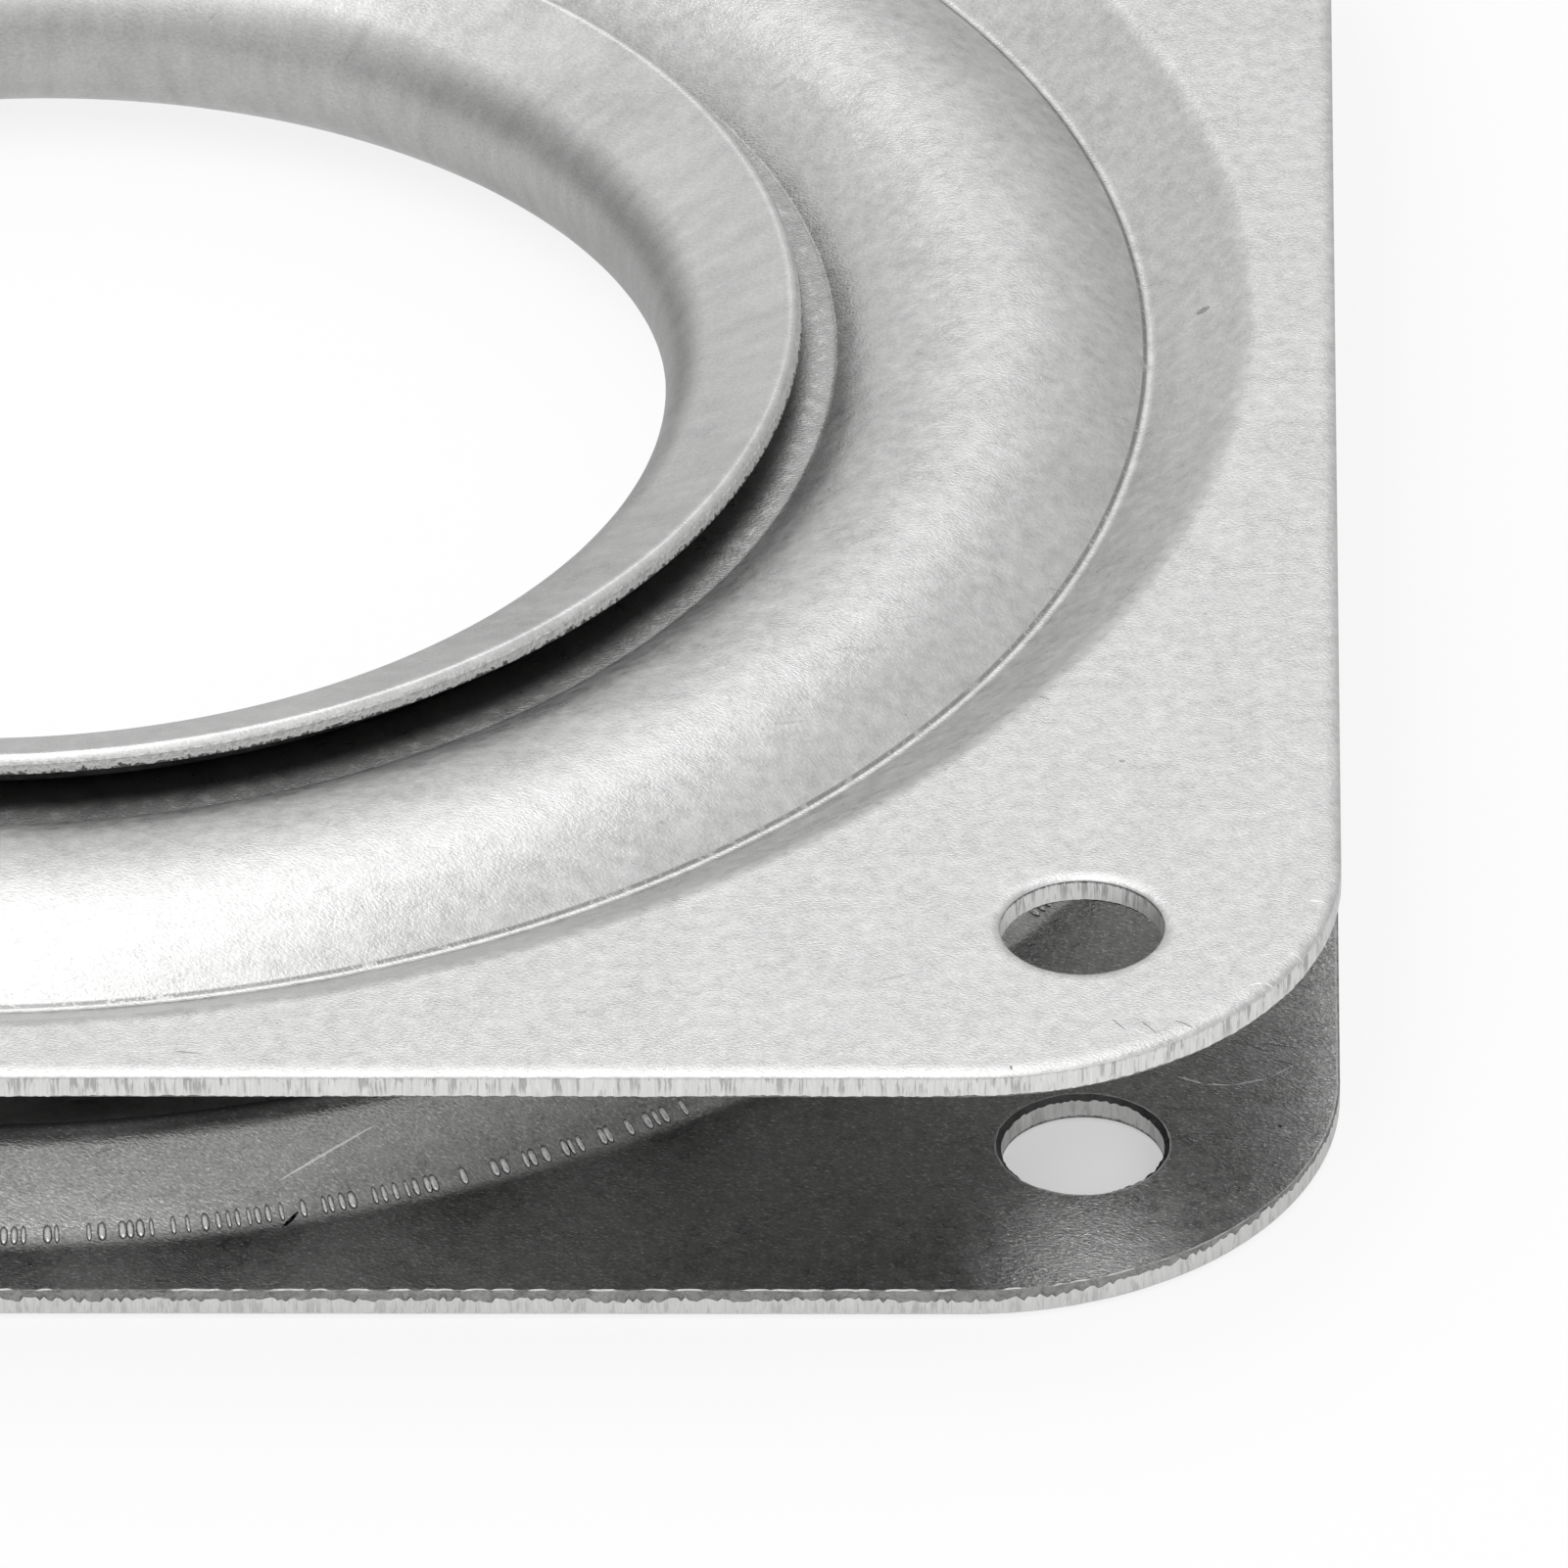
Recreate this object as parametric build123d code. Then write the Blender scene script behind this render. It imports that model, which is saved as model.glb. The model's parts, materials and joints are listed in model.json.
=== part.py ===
from build123d import *

import os
from math import asin, cos, floor, pi, radians, sin, tan

# Square lazy susan bearing: two pressed steel plates that turn on a ring of loose balls.
# Millimetres, +Z up. The origin is on the turning axis, in the plane that the lower plate rests on.
# Profiles are drawn as radius across and depth up, where depth 0 is the outer face of a plate.

# Plate blank
PLATE_SIDE = 76.2
CORNER_ROUND = 10.2
SHEET = 0.8
DIE_ROLL = 0.2
HOLE_D = 4.5
HOLE_INSET = 7.1

# Ball race pressed into both plates, from the rim inwards
RIM_LAND = 2.45
STEP_WIDTH = 2.85
RACE_WIDTH = 9.0
RACE_DEPTH = 1.75
CROWN_SINK = 0.08
STEP_ROUND = 1.2
FOOT_ROUND = 0.3

# Balls, loose in the race
BALL_D = 6.35
BALL_PLAY = 0.03
BALL_GAP = 0.4

# Tube drawn up from the lower plate and flared out over the flange of the upper plate
FLANGE_LAND = 1.72
TUBE_WALL = 0.6
TUBE_STRAIGHT = 0.05
FLANGE_CLEARANCE = 1.85
LIP_PLAY = 0.35
LIP_SLOPE = 26.0
LIP_BEND = 2.0
LIP_OVERLAP = 1.3
LIP_ROUND = 0.25

# How far the working region of a profile runs past the sheet that is kept
MARGIN = 5.0

# The stack of plate, ball and plate
height = 2 * (CROWN_SINK + SHEET + BALL_PLAY) + BALL_D
ball_level = height / 2

# Radii of the race
step_r = PLATE_SIDE / 2 - RIM_LAND
outer_foot_r = step_r - STEP_WIDTH
race_r = outer_foot_r - RACE_WIDTH / 2
inner_foot_r = outer_foot_r - RACE_WIDTH
join_r = step_r + RIM_LAND / 2

# The lip hangs over the flange, and the tube under it sweeps down to the flange of its own plate
slope = radians(LIP_SLOPE)
bend_reach = LIP_BEND * (1 - sin(slope))
lip_over_edge = height - RACE_DEPTH + LIP_PLAY + TUBE_WALL / cos(slope)
bend_top = lip_over_edge - (TUBE_WALL + FLANGE_CLEARANCE - bend_reach) * tan(slope)
throat_top = bend_top - LIP_BEND * cos(slope)
sweep = throat_top - TUBE_STRAIGHT - RACE_DEPTH
sweep_r = inner_foot_r - FLANGE_LAND
throat_r = sweep_r - sweep
flange_edge_r = throat_r + TUBE_WALL + FLANGE_CLEARANCE
lip_edge_r = flange_edge_r + LIP_OVERLAP
lip_top = lip_over_edge + LIP_OVERLAP * tan(slope)


def rounded(profile, corner, radius):
    """Round the corner of a profile that lies nearest to a point."""
    return fillet(profile.vertices().sort_by_distance(corner)[0], radius)


def race_band(inner_edge_r):
    """Section of the pressed sheet from the flat rim, over the race, to an edge inside it."""
    inner_end = inner_edge_r - MARGIN
    outer_end = join_r + MARGIN
    kept_depth = RACE_DEPTH + 2 * SHEET
    back = kept_depth + MARGIN
    sides = Polyline(
        (inner_end, RACE_DEPTH),
        (inner_end, back),
        (outer_end, back),
        (outer_end, 0),
        (step_r, 0),
        (outer_foot_r, RACE_DEPTH),
    )
    crown = ThreePointArc((outer_foot_r, RACE_DEPTH), (race_r, CROWN_SINK), (inner_foot_r, RACE_DEPTH))
    flange = Line((inner_foot_r, RACE_DEPTH), (inner_end, RACE_DEPTH))
    region = make_face([*sides.edges(), crown, flange])
    region = rounded(region, (step_r, 0), STEP_ROUND)
    region = rounded(region, (outer_foot_r, RACE_DEPTH), FOOT_ROUND)
    region = rounded(region, (inner_foot_r, RACE_DEPTH), FOOT_ROUND)
    sheet = region - offset(region, -SHEET)
    kept = Pos((inner_edge_r + join_r) / 2, 0) * Rectangle(join_r - inner_edge_r, 2 * kept_depth)
    return sheet & kept


def tube_band():
    """Section of the tube: a sweep up from the flange, the throat and the flared lip."""
    bend_r = throat_r + LIP_BEND
    turn = 90 - LIP_SLOPE
    wall_r = throat_r + TUBE_WALL
    inner_sweep = sweep - SHEET
    lip_edge = (lip_edge_r, lip_top)
    lip_under = (lip_edge_r + TUBE_WALL * sin(slope), lip_top - TUBE_WALL * cos(slope))

    face_sweep = CenterArc((sweep_r, RACE_DEPTH + sweep), sweep, 270, -90)
    face_wall = Line((throat_r, throat_top - TUBE_STRAIGHT), (throat_r, throat_top))
    face_bend = CenterArc((bend_r, throat_top), LIP_BEND, 180, -turn)
    face_lip = Line(face_bend @ 1, lip_edge)
    cut_edge = Line(lip_edge, lip_under)
    under_bend = CenterArc((bend_r, throat_top), LIP_BEND - TUBE_WALL, 180 - turn, turn)
    under_lip = Line(lip_under, under_bend @ 0)
    under_wall = Line((wall_r, throat_top), (wall_r, throat_top - TUBE_STRAIGHT))
    under_sweep = CenterArc((wall_r + inner_sweep, RACE_DEPTH + sweep), inner_sweep, 180, 90)
    under_flange = Line(under_sweep @ 1, (sweep_r, RACE_DEPTH + SHEET))
    seam = Line((sweep_r, RACE_DEPTH + SHEET), (sweep_r, RACE_DEPTH))
    outline = [
        face_sweep,
        face_wall,
        face_bend,
        face_lip,
        cut_edge,
        under_lip,
        under_bend,
        under_wall,
        under_sweep,
        under_flange,
        seam,
    ]
    return rounded(make_face(outline), lip_edge, LIP_ROUND)


def blank():
    """Flat rim of a plate, outer face down, with its corner holes and the rounding left by the die."""
    spacing = PLATE_SIDE - 2 * HOLE_INSET
    outline = RectangleRounded(PLATE_SIDE, PLATE_SIDE, CORNER_ROUND)
    holes = GridLocations(spacing, spacing, 2, 2) * Circle(HOLE_D / 2)
    sheet = extrude(outline - holes, SHEET)
    sheet = fillet(sheet.faces().sort_by(Axis.Z)[0].edges(), DIE_ROLL)
    return sheet - Cylinder(join_r, 4 * SHEET)


def pressed_plate(section):
    """One plate, outer face down: the flat rim and the turned section inside it."""
    return blank() + revolve(Plane.XZ * section, Axis.Z)


def lower_plate():
    """Plate that rests on the base, with the tube that holds both plates together."""
    return pressed_plate(race_band(sweep_r) + tube_band())


def upper_plate():
    """Plate that turns, outer face up, with a plain flange under the lip."""
    return mirror(pressed_plate(race_band(flange_edge_r)), about=Plane.XY.offset(ball_level))


def balls():
    """Balls spread evenly round the race, as many as its length takes."""
    count = floor(pi / asin((BALL_D + BALL_GAP) / (2 * race_r)))
    ring = PolarLocations(race_r, count)
    return [Pos(0, 0, ball_level) * place * Sphere(BALL_D / 2) for place in ring]


nodes = {"lower_plate": lower_plate(), "upper_plate": upper_plate()}
for number, ball in enumerate(balls(), start=1):
    nodes[f"ball_{number:02d}"] = ball

os.makedirs("parts", exist_ok=True)
for name, solid in nodes.items():
    export_step(solid, f"parts/{name}.step")
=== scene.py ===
import json
from math import atan2, cos, hypot, pi, radians, sin, sqrt, tan
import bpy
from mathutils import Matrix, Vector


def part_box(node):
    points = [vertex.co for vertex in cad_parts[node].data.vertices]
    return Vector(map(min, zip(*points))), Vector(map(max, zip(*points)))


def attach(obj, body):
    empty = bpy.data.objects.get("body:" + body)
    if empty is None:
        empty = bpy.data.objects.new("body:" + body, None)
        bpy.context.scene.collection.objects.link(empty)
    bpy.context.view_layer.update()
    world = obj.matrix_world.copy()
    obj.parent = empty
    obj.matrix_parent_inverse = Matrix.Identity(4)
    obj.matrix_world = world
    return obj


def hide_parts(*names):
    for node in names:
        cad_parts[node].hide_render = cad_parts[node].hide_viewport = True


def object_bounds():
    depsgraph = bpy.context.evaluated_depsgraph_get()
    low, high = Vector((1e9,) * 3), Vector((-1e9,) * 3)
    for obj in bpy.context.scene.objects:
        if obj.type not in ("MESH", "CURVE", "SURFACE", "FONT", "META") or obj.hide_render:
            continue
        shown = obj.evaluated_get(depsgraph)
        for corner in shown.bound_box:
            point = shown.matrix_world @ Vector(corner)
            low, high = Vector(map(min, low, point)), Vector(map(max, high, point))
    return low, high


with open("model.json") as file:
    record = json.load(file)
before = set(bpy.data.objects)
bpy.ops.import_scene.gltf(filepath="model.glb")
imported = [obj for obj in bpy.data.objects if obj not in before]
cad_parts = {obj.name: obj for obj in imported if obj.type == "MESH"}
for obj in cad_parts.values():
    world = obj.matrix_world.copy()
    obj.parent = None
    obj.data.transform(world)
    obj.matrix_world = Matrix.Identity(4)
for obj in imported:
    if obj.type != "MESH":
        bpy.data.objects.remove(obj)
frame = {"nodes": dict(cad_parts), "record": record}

from types import SimpleNamespace

import bmesh
import bpy
import numpy as np
from bpy.props import FloatProperty, FloatVectorProperty, IntProperty, PointerProperty
from mathutils import Matrix, Vector
from mathutils.geometry import delaunay_2d_cdt

bl_info = {
    "name": "Lazy susan bearing",
    "version": (1, 0, 0),
    "blender": (4, 5, 0),
    "location": "View3D > Sidebar > Bearing",
    "description": "Dresses a square ball-race bearing in galvanised sheet steel",
    "category": "Object",
}

# What the frame says: the box of the bearing, the screw holes and the ring of balls
MM = 0.001
CAD_LOW, CAD_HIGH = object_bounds()
HOLES = next(m["dims"] for m in frame["record"]["mounts"] if m["name"] == "upper_screw_holes")
BALL_NODES = sorted(name for name in frame["nodes"] if name.startswith("ball_"))
BALL_LOW, BALL_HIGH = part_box(BALL_NODES[0])

# The seed of each plate's cut edges, and the shares of the die roll, the teeth and the tear that they show.
# Screw holes have shares of the teeth, the tear and the length of a step.
EDGE_SEEDS = {"lower": 23, "upper": 11}
EDGE_SHARES = {"lower": (1.0, 1.0, 1.0), "upper": (0.65, 0.25, 0.2)}
HOLE_TEETH, HOLE_TEAR, HOLE_STEP = 0.5, 0.6, 0.9

# Small steps of a cut edge: the ledge under the smooth shear, and the burr's crest, its foot and the border
TEAR_LEDGE = 0.012 * MM
BURR_CREST, BURR_FOOT, EDGE_BORDER = 0.035 * MM, 0.055 * MM, 0.12 * MM

# The die roll: where the flat round it starts, as a share of its width, and its rows of points
ROLL_BORDER, ROLL_ROWS = 1.06, 7

# The step in the lip's cut edge: where it starts and ends across the wall, and how far both sides lean in
LIP_NOTCH = (0.55, 0.6)
LIP_LEAN = (0.03 * MM, 0.06 * MM)

# Points that lie nearer than this are one point, in metres, and in the fill of a flat in millimetres
GRID_REACH, JOIN_REACH, FILL_REACH = 1e-7, 2e-7, 1e-6

# Long runs of a section: how long they are, and how far from their ends a point is added
LONG_RUN, SUPPORT_PAD = 0.8 * MM, 0.05 * MM

# Edges that bend more than this are shaded as sharp
SHARP_ANGLE = radians(38)

# Places that the finishes tell apart, in millimetres: a height over the lower plate's rim, the inner border
# of the race, and the inner border, underside and top of the upper plate's flange
LOWER_RIM = 2.0
RACE_INSIDE = 23.6
FLANGE_INSIDE, FLANGE_LOW, FLANGE_HIGH = 20.3, 5.0, 6.75

# The way the grain of the sheet runs, and how fine it is along, across and through the sheet
GRAIN_RUN = radians(-20)
GRAIN_SCALE = (8.0, 17.0, 12.0)

# The colour of a metal's gloss where it is seen edge on
EDGE_GLOSS = (0.6, 0.6, 0.6, 1)

# Press marks: their seeds, and how far they stay clear of the corners, from 0 to 1
MARK_SEEDS = {"lower": 5, "upper": 9}
CORNER_CLEARANCE = 0.36

# Where the light stands and how strong it is
LAMPS = {
    "overhead_softbox": {"place": (-0.04, 0.1, 0.7), "size": (0.42, 1.2), "power": 2.0},
}

# Scratches and nicks of each plate: both ends and the width in millimetres, and how bright or dark they are;
# the brightness of the bright scratches is partly a painted highlight
SCRATCHES = {
    "lower": [
        ((33.6, -27.77), (34.36, -28.15), 0.07, 1.1),
        ((34.36, -28.15), (35.14, -28.19), 0.07, 1.1),
        ((35.14, -28.19), (36.12, -27.86), 0.07, 1.0),
        ((36.12, -27.86), (36.96, -27.11), 0.06, 0.8),
        ((35.85, -26.17), (37.02, -26.41), 0.06, -1.0),
        ((36.12, -26.88), (37.02, -27.3), 0.06, -1.0),
        ((34.9, -25.94), (36.26, -26.64), 0.06, -0.8),
        ((36.41, -30.1), (36.46, -30.16), 0.14, -1.6),
        ((32.96, -32.8), (33.05, -32.78), 0.1, -1.4),
        ((8.85, -33.74), (11.75, -31.71), 0.065, 1.4),
        ((9.1, -34.95), (9.5, -34.4), 0.13, -1.9),
    ],
    "upper": [
        ((31.82, -35.46), (32.22, -36.01), 0.06, -0.9),
        ((32.62, -35.55), (33.07, -36.2), 0.06, -0.9),
        ((33.55, -35.55), (34.03, -35.83), 0.07, -1.0),
        ((32.35, -35.92), (33.02, -36.38), 0.06, 0.6),
        ((35.54, -33.89), (35.94, -33.75), 0.07, 0.6),
        ((35.94, -33.75), (36.34, -33.88), 0.07, 0.6),
        ((37.24, -29.82), (37.62, -29.92), 0.08, 0.7),
        ((36.7, -32.3), (37.02, -32.58), 0.07, 0.6),
        ((29.78, -19.91), (30.06, -20.06), 0.07, -0.9),
        ((32.05, -23.09), (32.1, -23.09), 0.16, -0.8),
        ((34.26, 0.97), (34.4, 0.97), 0.3, -0.9),
        ((35.46, -13.75), (37.38, -13.75), 0.06, 0.4),
        ((6.4, -37.01), (7.2, -37.14), 0.06, -1.0),
        ((29.1, -37.7), (29.12, -37.8), 0.08, -1.4),
    ],
}


def length(name, description, default):
    """A size that a user may change, in metres."""
    limits = {"min": 0, "precision": 5, "unit": "LENGTH"}
    return FloatProperty(name=name, description=description, default=default, **limits)


def angle(name, description, degrees):
    """An angle that a user may change."""
    return FloatProperty(name=name, description=description, default=radians(degrees), subtype="ANGLE")


def fraction(name, description, default):
    """A share of a whole that a user may change."""
    return FloatProperty(name=name, description=description, default=default, subtype="FACTOR")


def tint(name, description, default):
    """A linear colour that a user may change."""
    limits = {"min": 0, "max": 1, "subtype": "COLOR"}
    return FloatVectorProperty(name=name, description=description, default=default, **limits)


class PlateSizes(bpy.types.PropertyGroup):
    """Sizes of the two pressed plates."""

    side: length("Side", "Side of the square plates", CAD_HIGH.x - CAD_LOW.x)
    height: length("Height", "Height over both plates", CAD_HIGH.z - CAD_LOW.z)
    corner_round: length("Corner round", "Radius of the plate corners", 10.2 * MM)
    sheet: length("Sheet", "Thickness of the sheet", 0.8 * MM)
    hole_radius: length("Hole radius", "Radius of the screw holes", HOLES["hole_r_mm"] * MM)
    hole_spacing: length("Hole spacing", "Distance between screw holes", HOLES["spacing_x_mm"] * MM)
    rim_land: length("Rim land", "Flat left between the step and the middle of a side", 2.45 * MM)
    step_width: length("Step width", "Width of the sloped step round the race", 2.85 * MM)
    race_width: length("Race width", "Width of the domed ball race", 9.0 * MM)
    race_depth: length("Race depth", "Depth of the feet of the race", 1.75 * MM)
    crown_sink: length("Crown sink", "Depth of the crown of the race under the rim", 0.08 * MM)
    step_round: length("Step round", "Radius of the bend at the top of the step", 1.2 * MM)
    inner_bend: length("Inner bend", "Radius of the step's bend on the inner face", 1.3 * MM)
    foot_round: length("Foot round", "Radius of the creases at the feet of the race", 0.3 * MM)
    flange_land: length("Flange land", "Flat between the race and the sweep of the tube", 1.72 * MM)
    tube_wall: length("Tube wall", "Thickness of the drawn tube", 0.6 * MM)
    tube_straight: length("Tube straight", "Straight part of the throat", 0.05 * MM)
    flange_clearance: length("Flange clearance", "Gap between the tube and the upper flange", 1.85 * MM)
    lip_play: length("Lip play", "Gap between the lip and the upper flange", 0.35 * MM)
    lip_slope: angle("Lip slope", "Slope of the flared lip", 26.0)
    lip_bend: length("Lip bend", "Radius of the bend into the lip", 2.0 * MM)
    lip_overlap: length("Lip overlap", "How far the lip hangs over the flange", 1.3 * MM)
    lip_round: length("Lip round", "Rounding of the lip's upper edge", 0.25 * MM)
    segments: IntProperty(name="Segments", description="Steps round the turned middle", default=300, min=64)


class EdgeSizes(bpy.types.PropertyGroup):
    """Sizes of the sheared edges."""

    roll_width: length("Roll width", "Width of the rounding left by the die", 0.75 * MM)
    roll_depth: length("Roll depth", "Depth of the rounding left by the die", 0.2 * MM)
    hole_roll: fraction("Hole roll", "Share of that rounding at a hole", 0.55)
    burnish: length("Burnish", "Depth at which the smooth shear ends", 0.63 * MM)
    ragged: length("Ragged", "How far the end of the smooth shear wanders", 0.11 * MM)
    tear_step: length("Tear step", "Step where the torn band starts", 0.02 * MM)
    tear_recess: length("Tear recess", "How far the torn band leans into the plate", 0.2 * MM)
    burr: length("Burr", "Height of the burr on the inner face", 0.045 * MM)
    grain: length("Grain", "Length of one step along a sheared edge", 0.11 * MM)


class MarkSizes(bpy.types.PropertyGroup):
    """Sizes of the press marks along the bend of the step."""

    count: IntProperty(name="Count", description="Places for a mark round the bend", default=760, min=1)
    share: fraction("Share", "Share of places that hold a mark", 0.6)
    width: length("Width", "Width of a mark", 0.3 * MM)
    rise: length("Rise", "Height of a mark over the sheet", 0.085 * MM)
    reach: length("Reach", "How far a mark runs up the step from its bend", 0.3 * MM)


class BallSizes(bpy.types.PropertyGroup):
    """Sizes of the ring of balls."""

    count: IntProperty(name="Count", description="Balls in the race", default=len(BALL_NODES), min=1)
    diameter: length("Diameter", "Diameter of a ball", BALL_HIGH.z - BALL_LOW.z)
    ring_radius: length("Ring radius", "Radius of the ring of ball centres", (BALL_LOW.x + BALL_HIGH.x) / 2)
    level: length("Level", "Height of the ball centres", (BALL_LOW.z + BALL_HIGH.z) / 2)


class FinishColours(bpy.types.PropertyGroup):
    """Colours of the finishes."""

    zinc: tint("Zinc", "Galvanised skin of the sheet", (0.66, 0.66, 0.655))
    sheared: tint("Sheared", "Smooth part of a cut edge", (0.66, 0.66, 0.655))
    torn: tint("Torn", "Torn part of a cut edge", (0.3, 0.3, 0.295))
    ball: tint("Ball", "Polished balls", (0.56, 0.56, 0.56))
    floor: tint("Floor", "Floor under the bearing", (0.93, 0.93, 0.93))
    sky: tint("Sky", "Light all round the studio", (1.0, 1.0, 1.0))


class StageSizes(bpy.types.PropertyGroup):
    """Floor and camera."""

    floor_side: length("Floor side", "Side of the floor", 6.0)
    floor_gap: length("Floor gap", "Hair's breadth between the floor and the lower plate", 0.02 * MM)
    sensor: FloatProperty(name="Sensor", description="Width of the sensor in millimetres", default=36.0)
    lens: FloatProperty(name="Lens", description="Focal length in millimetres", default=449.7)
    eye: FloatVectorProperty(
        name="Eye",
        description="Place of the camera",
        default=(0.033714, -0.470158, 0.31429),
        subtype="TRANSLATION",
    )
    yaw: angle("Yaw", "Turn of the view to the right", -1.41)
    pitch: angle("Pitch", "View below the horizon", 34.46)
    roll: angle("Roll", "Turn of the camera about its view", 0.78)


PROPERTY_GROUPS = {
    "bearing_plate": PlateSizes,
    "bearing_edge": EdgeSizes,
    "bearing_mark": MarkSizes,
    "bearing_ball": BallSizes,
    "bearing_colour": FinishColours,
    "bearing_stage": StageSizes,
}


def operation(name, swapped=False):
    """A Python operator that adds the Math node of that name."""

    def method(self, other):
        pair = (other, self) if swapped else (self, other)
        return self.graph.math(name, *pair)

    return method


class Term:
    """An output socket that takes part in Python expressions."""

    def __init__(self, graph, socket):
        self.graph = graph
        self.socket = socket

    __add__ = operation("ADD")
    __radd__ = operation("ADD", swapped=True)
    __sub__ = operation("SUBTRACT")
    __rsub__ = operation("SUBTRACT", swapped=True)
    __mul__ = operation("MULTIPLY")
    __rmul__ = operation("MULTIPLY", swapped=True)
    __truediv__ = operation("DIVIDE")
    __rtruediv__ = operation("DIVIDE", swapped=True)
    __gt__ = operation("GREATER_THAN")
    __lt__ = operation("LESS_THAN")


class Graph:
    """A node tree that nodes are added to by one method."""

    def __init__(self, tree):
        self.tree = tree

    def add(self, kind, settings=None, sockets=None, out=0):
        """Adds a node, sets its settings, then its sockets, and gives the output asked for."""
        node = self.tree.nodes.new(kind)
        for name, value in (settings or {}).items():
            setattr(node, name, value)
        for key, value in (sockets or {}).items():
            socket = self.find(node.inputs, key)
            if isinstance(value, Term):
                self.tree.links.new(value.socket, socket)
            else:
                socket.default_value = value
        return Term(self, self.find(node.outputs, out)) if len(node.outputs) else None

    @staticmethod
    def find(sockets, key):
        """The socket with that number, identifier or name, among those in use."""
        if isinstance(key, int):
            return sockets[key]
        return next(s for s in sockets if s.enabled and key in (s.identifier, s.name))

    def math(self, name, *values):
        """A Math node of that name."""
        return self.add("ShaderNodeMath", {"operation": name}, dict(enumerate(values)))

    def rise(self, value, low, high):
        """0 below low, 1 above high and a smooth rise between them."""
        settings = {"interpolation_type": "SMOOTHSTEP"}
        return self.add("ShaderNodeMapRange", settings, {"Value": value, "From Min": low, "From Max": high})

    def scaled(self, vector, factor):
        """A vector or a colour times a number."""
        sockets = {"Vector": vector, "Scale": factor}
        return self.add("ShaderNodeVectorMath", {"operation": "SCALE"}, sockets, "Vector")

    def split(self, vector):
        """The three numbers of a vector."""
        first = self.add("ShaderNodeSeparateXYZ", None, {"Vector": vector})
        return [Term(self, socket) for socket in first.socket.node.outputs]

    def joined(self, x, y, z):
        """The vector of three numbers."""
        return self.add("ShaderNodeCombineXYZ", None, {"X": x, "Y": y, "Z": z})

    def noise(self, place, scale, detail=2.0, roughness=0.5):
        """Noise about 0 that is seldom past a half either way."""
        sockets = {"Vector": place, "Scale": scale, "Detail": detail, "Roughness": roughness}
        return self.add("ShaderNodeTexNoise", None, sockets) - 0.5

    def turned(self, place, run, scale):
        """The place turned about Z and then scaled, for patterns that run one way."""
        settings = {"vector_type": "TEXTURE"}
        sockets = {"Vector": place, "Rotation": (0, 0, run), "Scale": [1 / s for s in scale]}
        return self.add("ShaderNodeMapping", settings, sockets)


class Finish(Graph):
    """The node tree of one material. Its places are in millimetres."""

    def __init__(self, name):
        self.material = bpy.data.materials.new(name)
        self.material.use_nodes = True
        super().__init__(self.material.node_tree)
        self.tree.nodes.clear()
        self.place = self.scaled(self.add("ShaderNodeTexCoord", None, None, "Object"), 1 / MM)
        self.x, self.y, self.z = self.split(self.place)

    def radius(self):
        """How far a place lies from the turning axis."""
        return self.math("SQRT", self.x * self.x + self.y * self.y)

    def depth(self, s):
        """How far a place lies from the outer face of the nearer plate."""
        return self.math("MINIMUM", self.z, s.height / MM - self.z)

    def metal(self, colour, tone, roughness, height, depth, metallic=0.85, strength=1.0):
        """Metal of that colour times tone, with bumps of that depth in metres."""
        sockets = {"Height": height, "Distance": depth, "Strength": strength}
        bump = self.add("ShaderNodeBump", None, sockets)
        sockets = {
            "Base Color": self.scaled(tuple(colour), tone),
            "Metallic": metallic,
            "Roughness": roughness,
            "Normal": bump,
            "Specular Tint": EDGE_GLOSS,
        }
        shader = self.add("ShaderNodeBsdfPrincipled", None, sockets)
        self.add("ShaderNodeOutputMaterial", None, {"Surface": shader})
        return self.material

    def spots(self, place, scale, size, share):
        """Spots strewn at random: 1 on a spot and 0 beside it, on a share of the cells."""
        away = self.add("ShaderNodeTexVoronoi", None, {"Vector": place, "Scale": scale}, "Distance")
        chance = Term(self, self.find(away.socket.node.outputs, "Color"))
        luck, large = self.split(chance)[:2]
        reach = size * (0.5 + large)
        return (1 - self.rise(away / reach, 0.6, 1.0)) * (luck < share)

    def dashes(self, run, long, wide, share):
        """Short straight scratches that run one way."""
        spread = self.turned(self.place, run, (0.4 / long, 0.1 / wide, 1.0))
        return self.spots(spread, 1.0, 0.2, share)

    def near_hole(self):
        """1 within a few millimetres of a screw hole's axis and 0 farther off."""
        across = self.math("ABSOLUTE", self.x) - HOLES["spacing_x_mm"] / 2
        along = self.math("ABSOLUTE", self.y) - HOLES["spacing_y_mm"] / 2
        # The squares of the distances between which it falls to 0
        outside, within = 10.0, 8.0
        return self.rise(across * across + along * along, outside, within)

    def along(self, direction, offset):
        """How far a place lies along a direction, counted from an offset."""
        sideways = self.math("MULTIPLY_ADD", self.y, direction[1], -offset)
        return self.math("MULTIPLY_ADD", self.x, direction[0], sideways)

    def strokes(self, scratches):
        """The brightness of single scratches, each between two points."""
        total = 0.0
        for start, end, wide, strength in scratches:
            run = Vector(end) - Vector(start)
            middle = (Vector(start) + Vector(end)) / 2
            lengthwise = run.normalized() / ((run.length + wide) / 2)
            crosswise = Vector((-run.y, run.x)).normalized() / (wide / 2)
            u = self.along(lengthwise, middle.dot(lengthwise))
            v = self.along(crosswise, middle.dot(crosswise))
            away = self.math("MULTIPLY_ADD", u, u, v * v)
            total = self.math("MULTIPLY_ADD", self.rise(away, 1.0, 0.56), strength, total)
        return total


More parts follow.
